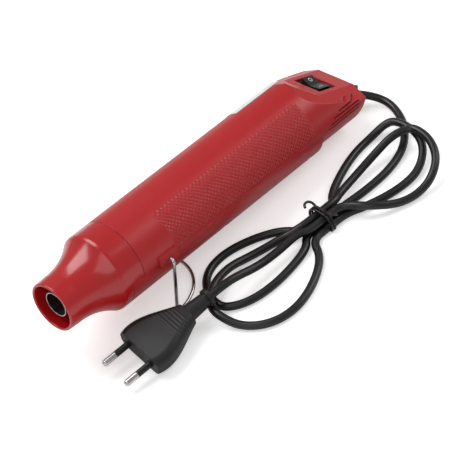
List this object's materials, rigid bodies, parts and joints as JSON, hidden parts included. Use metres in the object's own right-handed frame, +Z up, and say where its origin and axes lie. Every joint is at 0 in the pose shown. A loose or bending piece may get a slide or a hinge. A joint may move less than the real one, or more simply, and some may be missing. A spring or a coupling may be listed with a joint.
{
  "type": "embossing heat tool",
  "caption": "Small red hot-air embossing tool standing on its wire stand, with a rocker switch and a mains cord tied in a hank with a flat plug.",
  "frame": {"origin": "on the floor under the middle of the tool, without the cord", "axes": "+X towards the nozzle, +Y towards the near side of the tool, +Z up"},
  "size_m": [0.2646, 0.1241, 0.0644],
  "materials": {
    "red_cap": "gloss",
    "red_shell": "satin",
    "black_plastic": "satin",
    "charcoal_plastic": "matte",
    "cord_vinyl": "satin",
    "bright_plate": "polished",
    "tube_steel": "polished",
    "spring_steel": "polished",
    "mica": "matte",
    "resistance_wire": "satin",
    "fuse_ceramic": "satin",
    "motor_steel": "satin",
    "ferrite": "matte",
    "core_steel": "satin",
    "white_plastic": "matte",
    "inner_plastic": "matte",
    "board_laminate": "matte",
    "diode_black": "matte",
    "tab_brass": "satin",
    "screw_steel": "satin",
    "label_film": "satin"
  },
  "bodies": {
    "housing": {"nozzle_cap": "red_cap", "upper_shell": "red_shell", "lower_shell": "red_shell", "shell_screws": "screw_steel", "rating_label": "label_film", "outlet_tube": "tube_steel", "mica_sleeve": "mica", "mica_board_a": "mica", "mica_board_b": "mica", "heater_coil": "resistance_wire", "thermal_fuse": "fuse_ceramic", "motor_can": "motor_steel", "motor_magnets": "ferrite", "motor_end_cap": "white_plastic", "motor_mount": "inner_plastic", "rectifier_board": "board_laminate", "rectifier_diodes": "diode_black", "switch_body": "black_plastic", "switch_tabs": "tab_brass", "cable_boot": "cord_vinyl", "cord_inner": "cord_vinyl", "clamp_bar": "inner_plastic", "clamp_screws": "screw_steel", "plug_body": "charcoal_plastic", "plug_pins": "bright_plate", "pin_sleeves": "black_plastic", "cord_lead": "cord_vinyl", "cord_hank": "cord_vinyl", "cord_tail": "cord_vinyl", "twist_tie": "black_plastic"},
    "stand": {"stand_wire": "spring_steel"},
    "switch_rocker": {"rocker": "black_plastic"},
    "fan": {"fan_impeller": "white_plastic", "motor_shaft": "bright_plate", "motor_armature": "core_steel"}
  },
  "joints": [
    {"name": "stand_hinge", "type": "hinge", "parent": "housing", "child": "stand", "pos_m": [0.05367, 0, 0.03665], "axis": [0, 1, 0], "range_deg": [-24, 12]},
    {"name": "rocker_hinge", "type": "hinge", "parent": "housing", "child": "switch_rocker", "pos_m": [-0.10362, 0, 0.03191], "axis": [-0.91, 0, -0.4147], "range_deg": [-14, 0]},
    {"name": "fan_spin", "type": "hinge", "parent": "housing", "child": "fan", "pos_m": [-0.01138, 0, 0.03096], "axis": [-0.9962, 0, -0.0872], "continuous": true}
  ]
}
